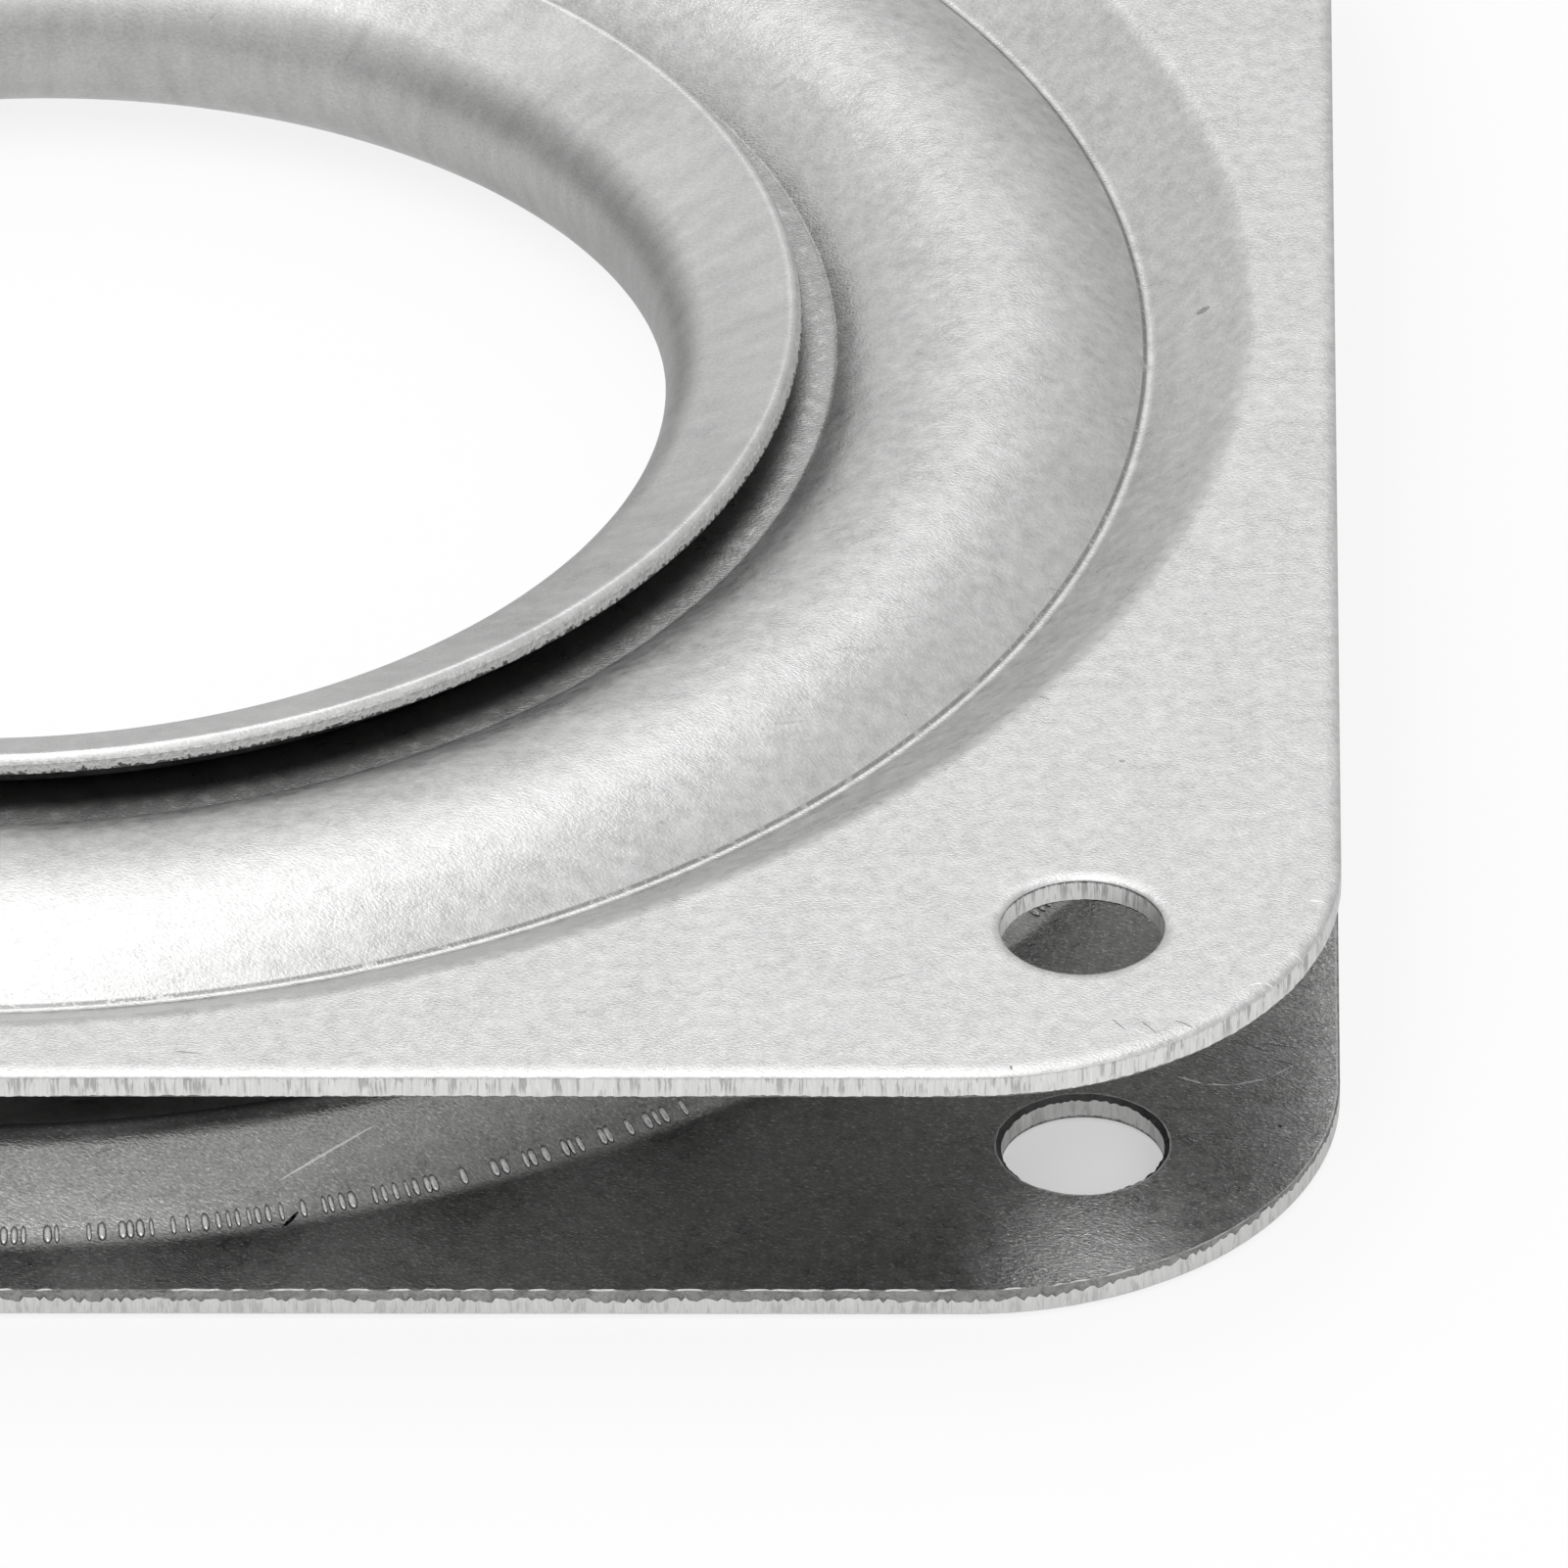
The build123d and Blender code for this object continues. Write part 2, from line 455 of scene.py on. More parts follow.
def plate_layout(s):
    """Radii and heights that follow from the sizes of the plates."""
    d = SimpleNamespace()
    d.step_r = s.side / 2 - s.rim_land
    d.foot_r = d.step_r - s.step_width
    d.race_r = d.foot_r - s.race_width / 2
    d.inner_foot_r = d.foot_r - s.race_width
    d.join_r = d.step_r + s.rim_land / 2
    d.bend_reach = s.lip_bend * (1 - sin(s.lip_slope))
    d.lip_over_edge = s.height - s.race_depth + s.lip_play + s.tube_wall / cos(s.lip_slope)
    d.bend_top = d.lip_over_edge - (s.tube_wall + s.flange_clearance - d.bend_reach) * tan(s.lip_slope)
    d.throat_top = d.bend_top - s.lip_bend * cos(s.lip_slope)
    d.sweep = d.throat_top - s.tube_straight - s.race_depth
    d.sweep_r = d.inner_foot_r - s.flange_land
    d.throat_r = d.sweep_r - d.sweep
    d.flange_edge_r = d.throat_r + s.tube_wall + s.flange_clearance
    d.lip_edge_r = d.flange_edge_r + s.lip_overlap
    d.lip_top = d.lip_over_edge + s.lip_overlap * tan(s.lip_slope)
    return d


def zinc_finish(name, scene, plate):
    """Galvanised sheet: a fine grain with painted glints, dark flecks, scratches, duller drawn parts, and
    painted highlights and shade.
    """
    s = scene.bearing_plate
    d = plate_layout(s)
    f = Finish(name)
    radius = f.radius()

    def change(edge, start, end):
        """A smooth change from 0 to 1 between two distances from a radius."""
        return f.rise(radius, edge / MM + start, edge / MM + end)

    def ring(centre, width):
        """1 at a radius and 0 that far from it."""
        return 1 - f.rise(f.math("ABSOLUTE", radius - centre / MM), 0.3 * width, width)

    # Both plates are alike in their rims, so depth tells the inner face from the outer one
    bend = f.math("MAXIMUM", d.step_r / MM - radius, 0.0) * (s.race_depth / s.step_width)
    under = f.depth(s) - f.math("MINIMUM", bend, s.race_depth / MM + 0.1)
    inner = f.rise(under, 0.3, 0.5) * (radius > RACE_INSIDE)
    shaded = inner * change(d.step_r, 0.0, 0.8)
    # Painted shadow on the inner face inside the ball race
    race_shade = inner * change(d.foot_r, 0.6, -0.45)
    throat = change(d.throat_r, 1.4, 0.3)
    lip = change(d.lip_edge_r, 0.1, 0.0) * (1 - throat)
    smooth = lip + throat
    flange = (radius > FLANGE_INSIDE) * (radius < d.inner_foot_r / MM)
    flange = flange * (f.z > FLANGE_LOW) * (f.z < FLANGE_HIGH)
    # Painted shadow on the flange under the lip
    lip_shadow = flange * change(d.lip_edge_r, 0.7, -0.1)

    # Patterns of the skin, from fine to broad
    grain = f.noise(f.turned(f.place, GRAIN_RUN, GRAIN_SCALE), 1.0, 2.0, 0.6)
    cloud = f.noise(f.place, 2.2, 2.0)
    mottle = f.noise(f.place, 0.5, 0.0)
    turn = f.math("ARCTAN2", f.y, f.x)
    drawn = f.noise(f.joined(turn * 20.0, radius * 0.3, f.z * 0.3), 2.0, 1.0) * smooth
    # Painted highlight: bright glints painted into the grain of the inner faces
    painted_glint = inner * f.rise(grain, 0.12, 0.26)
    scratch = f.dashes(radians(24), 1.0, 0.022, 0.05)
    fleck = f.spots(f.place, 1.5, 0.075, 0.14)
    # Scratches and nicks; the bright ones carry a painted highlight in their colour
    stroke = f.strokes(SCRATCHES[plate])

    # Wear and a painted highlight along the creases of the outer face, and a painted dark line of shade in
    # the outer crease
    worn = f.rise(cloud + 0.6 * grain, -0.1, 0.12) * (1 - inner)
    blotch = f.rise(cloud + 0.8 * grain, 0.05, 0.2) * (1 - inner)
    rub = 0.9 * ring(d.inner_foot_r - 0.5 * MM, 0.4) * blotch + 0.12 * ring(d.foot_r, 0.16) * worn
    crease_shade = ring(d.foot_r - 0.13 * MM, 0.09) * (1 - inner) * f.rise(cloud + grain, -0.25, 0.0)

    tone = 1 + (0.5 + 0.9 * inner) * grain + (0.45 - 0.3 * smooth) * cloud
    tone = tone + 0.12 * mottle + 0.28 * drawn + 1.5 * painted_glint
    tone = tone - 0.14 * scratch - (0.16 - 0.1 * inner) * fleck - 0.55 * crease_shade + 0.5 * stroke
    # Painted shade: darker inner faces, deepest past the step, and painted shade in the race, the throat, on
    # the flange and under the lip
    shade = (1 - 0.05 * inner - 0.2 * shaded) * (1 - 0.85 * race_shade) * (1 - 0.3 * throat)
    shade = shade * (1 - 0.36 * flange) * (1 - 0.6 * lip_shadow)
    bright = f.math("MAXIMUM", stroke, 0.0)
    metallic = 0.82 + 0.18 * f.math("MAXIMUM", inner, lip_shadow) - 0.6 * bright
    roughness = 0.31 + 0.2 * cloud + 0.1 * mottle + 0.12 * throat + 0.5 * race_shade
    strength = 1 - 0.5 * smooth
    colour = scene.bearing_colour.zinc
    return f.metal(colour, tone * shade + 0.2 * rub, roughness, grain, 0.019 * MM, metallic, strength)


def sheared_finish(name, scene):
    """The smooth part of a cut edge, drawn into uneven streaks across the sheet by the punch."""
    s, e = scene.bearing_plate, scene.bearing_edge
    f = Finish(name)
    broad = f.noise(f.joined(f.x, f.y, f.z * 0.2), 4.2, 3.0, 0.6)
    fine = f.noise(f.joined(f.x, f.y, f.z * 0.06), 13.0, 2.0, 0.6)
    grit = f.noise(f.place, 9.0, 2.0)
    depth = f.depth(s)
    hole = f.near_hole()
    lower = f.z < LOWER_RIM
    dull = f.rise(broad + 0.8 * fine, 0.0, 0.14) * (0.4 + 0.6 * f.rise(depth, 0.8, 0.4))
    dull = dull * (1 - 0.4 * lower)
    roll_end = e.roll_depth * e.hole_roll / MM
    # Darker within the die roll's depth, with a ragged border, and much darker near the screw holes
    below_roll = f.rise(depth + 0.16 * grit, roll_end + 0.01, roll_end + 0.09)
    tone = (1.13 - 0.5 * dull + 0.7 * fine) * (1 - (0.25 + 0.55 * hole) * (1 - below_roll))
    # Painted shade on the lower plate's cut edges, deeper round the screw holes that lie under the upper
    # plate
    tone = tone * (1 - (0.1 + 0.12 * hole) * lower)
    colour = scene.bearing_colour.sheared
    return f.metal(colour, tone, 0.5 + 0.4 * fine, broad + 0.7 * fine, 0.03 * MM)


def lip_edge_finish(name, scene):
    """The cut edge of the lip, coarse and grainy, with small notches along its lower side."""
    s = scene.bearing_plate
    d = plate_layout(s)
    f = Finish(name)
    grit = f.noise(f.place, 6.0, 2.0, 0.6)
    out = f.radius() - d.lip_edge_r / MM
    drop = out * sin(s.lip_slope) + (d.lip_top / MM - f.z) * cos(s.lip_slope)
    notch = f.rise(drop + 0.5 * grit, s.tube_wall / MM - 0.1, s.tube_wall / MM)
    tone = (1 + 1.1 * grit) * (1 - 0.85 * notch)
    return f.metal(scene.bearing_colour.sheared, tone, 0.55 + 0.3 * grit, grit, 0.06 * MM)


def torn_finish(name, scene):
    """The torn part of a cut edge, rough and grainy."""
    f = Finish(name)
    grit = f.noise(f.place, 7.0, 3.0, 0.65)
    patch = f.noise(f.place, 1.6, 2.0)
    # Painted shade: the torn band is much darker round the screw holes
    tone = (1 + 1.2 * grit + 0.8 * patch) * (1 - 0.75 * f.near_hole())
    return f.metal(scene.bearing_colour.torn, tone, 0.6 + 0.3 * grit, grit, 0.06 * MM)


def mark_finish(name, scene):
    """A press mark: a painted highlight along its crest, painted shade round its rim and a painted shadow at
    its lower tip.
    """
    s = scene.bearing_plate
    f = Finish(name)
    above = f.depth(s)
    sheet = s.sheet / MM
    grit = f.noise(f.place, 8.0, 2.0)
    crest = f.add("ShaderNodeAttribute", {"attribute_name": "crest"}, None, "Fac")
    tip = f.rise(above, sheet + 0.14, sheet + 0.06)
    rim = 0.8 - 0.55 * f.rise(above, sheet + 0.26, sheet + 0.14)
    # Painted highlight on the crest, painted shade on the rim and a painted shadow at the lower tip
    tone = (rim + (1.5 - rim) * f.rise(crest + 0.3 * grit, 0.22, 0.65)) * (1 - 0.8 * tip)
    return f.metal(scene.bearing_colour.zinc, tone, 0.26 + 0.2 * grit, grit, 0.01 * MM, 0.7)


def ball_finish(name, scene):
    """Ground and polished balls, faintly worn by rolling."""
    f = Finish(name)
    wear = f.noise(f.place, 1.5, 3.0)
    rub = f.dashes(radians(50), 1.2, 0.02, 0.2) + f.dashes(radians(-20), 0.8, 0.02, 0.2)
    tone = 1 + 0.12 * wear - 0.08 * rub
    roughness = 0.12 + 0.1 * wear + 0.1 * rub
    return f.metal(scene.bearing_colour.ball, tone, roughness, wear - rub, 0.001 * MM)


def plate_materials(scene, plate):
    """Finishes of a plate, in the order of the kinds of face. Both plates share those of the cut edges."""
    made = {
        "sheared_edge": sheared_finish,
        "torn_edge": torn_finish,
        "lip_edge": lip_edge_finish,
    }
    edges = [bpy.data.materials.get(name) or make(name, scene) for name, make in made.items()]
    return [zinc_finish(plate + "_zinc_skin", scene, plate), *edges]


def rays(angles):
    """Unit vectors at those angles."""
    return np.stack([np.cos(angles), np.sin(angles)], 1)


def arc(centre, radius, start, end, count):
    """Points along an arc in the plane of a section, and the directions from its centre to them."""
    spokes = rays(np.linspace(start, end, count + 1))
    return np.array(centre) + radius * spokes, spokes


def crease_centre(point, direction, outward, dome_centre, dome_radius, radius):
    """Centre of the crease that rounds the valley between a straight run and the dome."""
    start = np.array(point) + radius * np.array(outward) - np.array(dome_centre)
    along = np.array(direction)
    half = start @ along
    reach = sqrt(half**2 - start @ start + (dome_radius + radius) ** 2)
    steps = (-half - reach, -half + reach)
    return np.array(point) + radius * np.array(outward) + min(steps, key=abs) * along


def step_slope(s):
    """Slope of the step round the race."""
    return atan2(s.race_depth, s.step_width)


def inner_bend(s, d):
    """The soft bend at the foot of the step on the inner face, from the rim inwards."""
    slope = step_slope(s)
    corner = d.step_r + s.sheet * tan(slope / 2)
    centre = (corner + s.inner_bend * tan(slope / 2), s.sheet + s.inner_bend)
    return arc(centre, s.inner_bend, -pi / 2, -pi / 2 - slope, 9)


def race_path(s, d):
    """Outer and inner face of the pressed ring, from the rim inwards."""
    slope = step_slope(s)
    lead = s.step_round * tan(slope / 2)
    sag = s.race_depth - s.crown_sink
    dome_radius = ((s.race_width / 2) ** 2 + sag**2) / (2 * sag)
    dome = np.array([d.race_r, s.crown_sink + dome_radius])
    down_step = (-cos(slope), sin(slope))
    off_step = (-sin(slope), -cos(slope))
    outer = crease_centre((d.foot_r, s.race_depth), down_step, off_step, dome, dome_radius, s.foot_round)
    inner = crease_centre((d.inner_foot_r, s.race_depth), (-1, 0), (0, -1), dome, dome_radius, s.foot_round)

    def bearing_of(start, end):
        """Angle of the way from one point to another."""
        return atan2(end[1] - start[1], end[0] - start[0])

    step = arc((d.step_r + lead, s.step_round), s.step_round, -pi / 2, -pi / 2 - slope, 7)[0]
    foot, foot_out = arc(outer, s.foot_round, pi / 2 - slope, bearing_of(outer, dome), 6)
    crown, crown_out = arc(dome, dome_radius, bearing_of(dome, outer), bearing_of(dome, inner), 24)
    heel, heel_out = arc(inner, s.foot_round, bearing_of(inner, dome), pi / 2, 5)
    face = np.concatenate([step, foot, crown, heel])
    inward = s.sheet * np.concatenate([foot_out, -crown_out, heel_out])
    back = np.concatenate([inner_bend(s, d)[0], np.concatenate([foot, crown, heel]) + inward])
    return face, back


def with_supports(points, pad, gap):
    """Adds points just inside the ends of each long run, so that smooth shading keeps it straight."""
    kept = [points[0]]
    for before, after in zip(points[:-1], points[1:]):
        run = after - before
        far = hypot(*run)
        if far > gap:
            kept += [before + run * pad / far, after - run * pad / far]
        kept.append(after)
    return np.array(kept)


def upper_section(s, d):
    """Section of the upper plate's middle, from its outer face round the flange edge to its inner face."""
    face, back = race_path(s, d)
    edge_r = d.flange_edge_r
    roll = arc((edge_r + s.lip_round, s.race_depth + s.lip_round), s.lip_round, -pi / 2, -pi, 4)[0]
    edge = [(edge_r, s.race_depth + s.sheet)]
    return np.concatenate([[(d.join_r, 0)], face, roll, edge, back[::-1], [(d.join_r, s.sheet)]])


def lower_section(s, d):
    """Section of the lower plate's middle, with the swept tube and the flared lip."""
    face, back = race_path(s, d)
    level = s.race_depth + d.sweep
    wall_r = d.throat_r + s.tube_wall
    back_sweep = d.sweep - s.sheet
    bend = (d.throat_r + s.lip_bend, d.throat_top)
    up = pi / 2 + s.lip_slope
    lip = np.array([d.lip_edge_r, d.lip_top])
    run = np.array([cos(s.lip_slope), sin(s.lip_slope)])
    off = np.array([sin(s.lip_slope), -cos(s.lip_slope)])
    edge = arc(lip + s.lip_round * (off - run), s.lip_round, up, s.lip_slope, 4)[0]
    parts = [
        [(d.join_r, 0)],
        face,
        arc((d.sweep_r, level), d.sweep, -pi / 2, -pi, 14)[0],
        arc(bend, s.lip_bend, pi, up, 9)[0],
        edge,
        [lip + s.tube_wall * LIP_NOTCH[0] * off],
        [lip + s.tube_wall * LIP_NOTCH[1] * off - LIP_LEAN[0] * run],
        [lip + s.tube_wall * off - LIP_LEAN[1] * run],
        arc(bend, s.lip_bend - s.tube_wall, up, pi, 7)[0],
        arc((wall_r + back_sweep, level), back_sweep, pi, 3 * pi / 2, 10)[0],
        back[::-1],
        [(d.join_r, s.sheet)],
    ]
    return np.concatenate(parts)


def new_piece(name, mesh, materials=()):
    """An object at the origin that shows a mesh."""
    piece = bpy.data.objects.new(name, mesh)
    for material in materials:
        mesh.materials.append(material)
    bpy.context.scene.collection.objects.link(piece)
    return piece


def node_group(name, inputs):
    """An empty Geometry Nodes tree with named inputs, and those inputs by name."""
    tree = bpy.data.node_groups.new(name, "GeometryNodeTree")
    tree.interface.new_socket("Geometry", in_out="INPUT", socket_type="NodeSocketGeometry")
    for title, kind in inputs.items():
        tree.interface.new_socket(title, in_out="INPUT", socket_type="NodeSocket" + kind)
    tree.interface.new_socket("Geometry", in_out="OUTPUT", socket_type="NodeSocketGeometry")
    graph = Graph(tree)
    start = tree.nodes.new("NodeGroupInput")
    given = {socket.name: Term(graph, socket) for socket in start.outputs if socket.name}
    return graph, given


def end_tree(g, geometry, material):
    """Ends a tree: makes its instances real, shades them smooth and gives them their finish."""
    real = g.add("GeometryNodeRealizeInstances", None, {"Geometry": geometry})
    smooth = g.add("GeometryNodeSetShadeSmooth", None, {"Geometry": real})
    done = g.add("GeometryNodeSetMaterial", None, {"Geometry": smooth, "Material": material})
    g.add("NodeGroupOutput", None, {"Geometry": done})
    return g


def grown(name, mesh, graph, values):
    """Runs a Geometry Nodes tree on a mesh and gives the result as a plain mesh."""
    base = new_piece(name + "_base", mesh)
    modifier = base.modifiers.new(name, "NODES")
    modifier.node_group = graph.tree
    for item in graph.tree.interface.items_tree:
        if item.in_out == "INPUT" and item.name in values:
            modifier[item.identifier] = values[item.name]
    depsgraph = bpy.context.evaluated_depsgraph_get()
    result = bpy.data.meshes.new_from_object(base.evaluated_get(depsgraph))
    result.name = name
    base.modifiers.remove(modifier)
    bpy.data.objects.remove(base)
    return result


def turning_tree():
    """Tree that turns a section, drawn as radius and height in X and Z, round the Z axis."""
    kinds = {"Segments": "Int", "Cut from": "Float", "Cut to": "Float"}
    g, given = node_group("turned section", kinds | {"Material": "Material", "Cut material": "Material"})
    section = given["Geometry"]
    counted = {"component": "MESH"}
    points = g.add("GeometryNodeAttributeDomainSize", counted, {"Geometry": section}, "Point Count")
    sizes = {"Size X": 1.0, "Size Y": 1.0, "Vertices X": given["Segments"] + 1, "Vertices Y": points}
    grid = g.add("GeometryNodeMeshGrid", None, sizes, "Mesh")
    place = g.add("GeometryNodeInputPosition")
    across, along = g.split(place)[:2]
    row = (along + 0.5) * (points - 1)
    settings = {"data_type": "FLOAT", "domain": "FACE"}
    sockets = {"Geometry": grid, "Name": "row", "Value": row}
    grid = g.add("GeometryNodeStoreNamedAttribute", settings, sockets)
    settings = {"data_type": "FLOAT_VECTOR", "domain": "POINT"}
    sockets = {"Geometry": section, "Value": place, "Index": g.math("ROUND", row)}
    radius, height = g.split(g.add("GeometryNodeSampleIndex", settings, sockets, "Value"))[::2]
    turn = (across + 0.5) * (2 * pi)
    turned = g.joined(radius * g.math("COSINE", turn), radius * g.math("SINE", turn), height)
    ring = g.add("GeometryNodeSetPosition", None, {"Geometry": grid, "Position": turned})
    closed = g.add("GeometryNodeMergeByDistance", None, {"Geometry": ring, "Distance": GRID_REACH})
    real = g.add("GeometryNodeRealizeInstances", None, {"Geometry": closed})
    done = g.add("GeometryNodeSetMaterial", None, {"Geometry": real, "Material": given["Material"]})
    settings = {"data_type": "FLOAT"}
    kept_row = g.add("GeometryNodeInputNamedAttribute", settings, {"Name": "row"}, "Attribute")
    cut = (kept_row > given["Cut from"]) * (kept_row < given["Cut to"])
    sockets = {"Geometry": done, "Selection": cut, "Material": given["Cut material"]}
    done = g.add("GeometryNodeSetMaterial", None, sockets)
    done = g.add("GeometryNodeRemoveAttribute", None, {"Geometry": done, "Name": "row"})
    g.add("NodeGroupOutput", None, {"Geometry": done})
    return g


def turned_ring(name, section, cut, segments, materials):
    """Mesh of a section turned once round the axis, with its cut edge in a finish of its own."""
    mesh = bpy.data.meshes.new(name + "_section")
    points = [(r, 0, z) for r, z in section]
    mesh.from_pydata(points, [(i, i + 1) for i in range(len(points) - 1)], [])
    values = {
        "Segments": segments,
        "Cut from": float(cut[0]),
        "Cut to": float(cut[1]),
        "Material": materials[MeshParts.ZINC],
        "Cut material": materials[MeshParts.GRAINY],
    }
    return grown(name, mesh, turning_tree(), values)


def nearest(section, point):
    """Number of the section's point that lies nearest to another."""
    return int(np.argmin(np.hypot(*(section - np.array(point)).T)))


def wander(rng, count, run):
    """Uneven numbers from -1 to 1 along a closed edge, drawn every few steps and joined smoothly."""
    knots = max(4, count // run)
    drawn = rng.uniform(-1, 1, knots)
    at = np.arange(count) * knots / count
    return np.interp(at, np.arange(knots + 1), np.append(drawn, drawn[0]))


def square_outline(s, e):
    """Points round the plate's rounded square, with their directions outwards."""
    flat = s.side / 2 - s.corner_round
    steps = round(2 * flat / e.grain)
    turns = round(pi / 2 * s.corner_round / e.grain)
    run = np.linspace(-flat, flat, steps, endpoint=False)
    spokes = rays(np.linspace(0, pi / 2, turns, endpoint=False))
    side = np.column_stack([np.full(steps, s.side / 2), run])
    points = np.concatenate([side, flat + s.corner_round * spokes])
    outward = np.concatenate([np.tile((1.0, 0.0), (steps, 1)), spokes])
    quarters = [np.array([[cos(q), sin(q)], [-sin(q), cos(q)]]) for q in (0, pi / 2, pi, 3 * pi / 2)]
    return np.concatenate([points @ q for q in quarters]), np.concatenate([outward @ q for q in quarters])


def hole_outline(s, e, centre):
    """Points round a screw hole, with their directions into the hole."""
    count = round(2 * pi * s.hole_radius / (e.grain * HOLE_STEP))
    out = rays(np.arange(count) * 2 * pi / count)
    return np.array(centre) + s.hole_radius * out, -out


class MeshParts:
    """Vertices and faces gathered from several parts of one plate."""

    ZINC, SHEARED, TORN, GRAINY = range(4)

    def __init__(self):
        self.points = []
        self.faces = []
        self.kinds = []

    def add(self, points, faces, kinds):
        """Adds points, and faces that count from the first of them."""
        shift = len(self.points)
        self.points += [tuple(p) for p in points]
        self.faces += [tuple(shift + i for i in face) for face in faces]
        self.kinds += kinds

    def bands(self, rows, kinds):
        """Closed bands of quads between one loop of points and the next."""
        count = len(rows[0])
        faces, marks = [], []
        for band, kind in enumerate(kinds):
            near, far = band * count, (band + 1) * count
            for i in range(count):
                j = (i + 1) % count
                faces.append((near + i, near + j, far + j, far + i))
                marks.append(kind)
        self.add(np.concatenate(rows), faces, marks)


def cut_edge(parts, s, e, outline, outward, rng, roll, burr, teeth, tear):
    """The sheared edge of a plate: die roll, smooth shear, torn band and burr. Gives its two face loops.

    Roll, burr, teeth and tear are the shares that this edge has of each size, tear for every point.
    """
    count = len(outline)
    notches = 0.75 * wander(rng, count, 1) + 0.35 * wander(rng, count, 2)
    ragged = teeth * notches + 0.18 * wander(rng, count, 12)
    torn = wander(rng, count, 2)
    dash = burr * tear * np.clip(5 * wander(rng, count, 3) + 1.2, 0, 1) * (0.75 + 0.25 * torn)
    lean = e.tear_recess * (0.25 + 0.75 * tear)
    wide, deep = e.roll_width * roll, e.roll_depth * roll
    flat = np.zeros(count)

    def loop(reach, depth):
        """The outline moved outwards, at a depth under the outer face."""
        place = outline + outward * (flat + reach)[:, None]
        return np.column_stack([place, flat + depth])

    rows = [loop(-wide * ROLL_BORDER, 0)]
    for t in np.sin(np.linspace(0, pi / 2, ROLL_ROWS)):
        rows.append(loop(-wide * (1 - t), deep * (1 - sqrt(1 - t * t))))
    kinds = [MeshParts.ZINC] * (len(rows) - 1)
    shear_end = s.sheet - (s.sheet - e.burnish) * (0.4 + 0.6 * tear) + e.ragged * ragged
    for kind, reach, depth in (
        (MeshParts.SHEARED, 0, shear_end),
        (MeshParts.TORN, -e.tear_step, shear_end + TEAR_LEDGE),
        (MeshParts.TORN, -lean * (0.6 + 0.1 * torn), (shear_end + s.sheet) / 2),
        (MeshParts.TORN, -lean * (1 + 0.15 * torn), s.sheet),
        (MeshParts.SHEARED, -lean - BURR_CREST, s.sheet + e.burr * dash),
        (MeshParts.SHEARED, -lean - BURR_FOOT, s.sheet),
        (MeshParts.ZINC, -lean - EDGE_BORDER, s.sheet),
    ):
        kinds.append(kind)
        rows.append(loop(reach, depth))
    parts.bands(rows, kinds)
    return rows[0], rows[-1]


def inside(loop, points):
    """Which of the points lie inside a closed loop, by the crossings of a ray from each of them."""
    x, y = points[:, :1], points[:, 1:2]
    ends = np.roll(loop, -1, 0)
    spans = (loop[:, 1] > y) != (ends[:, 1] > y)
    rise = np.where(loop[:, 1] == ends[:, 1], 1, ends[:, 1] - loop[:, 1])
    crossing = loop[:, 0] + (y - loop[:, 1]) / rise * (ends[:, 0] - loop[:, 0])
    return (spans & (x < crossing)).sum(1) % 2 == 1


def fill_flat(parts, outer, holes):
    """Fills the flat between an outer loop and the loops inside it."""
    points, edges = [], []
    for loop in (outer, *holes):
        start = len(points)
        points += [Vector(place) for place in loop[:, :2] / MM]
        edges += [(start + i, start + (i + 1) % len(loop)) for i in range(len(loop))]
    filled = delaunay_2d_cdt(points, edges, [], 0, FILL_REACH)
    found = np.array([tuple(point) for point in filled[0]]) * MM
    faces = np.array(filled[2])
    middles = found[faces].mean(1)
    kept = inside(outer[:, :2], middles)
    for hole in holes:
        kept &= ~inside(hole[:, :2], middles)
    level = np.full(len(found), outer[0][2])
    parts.add(np.column_stack([found, level]), faces[kept], [MeshParts.ZINC] * int(kept.sum()))


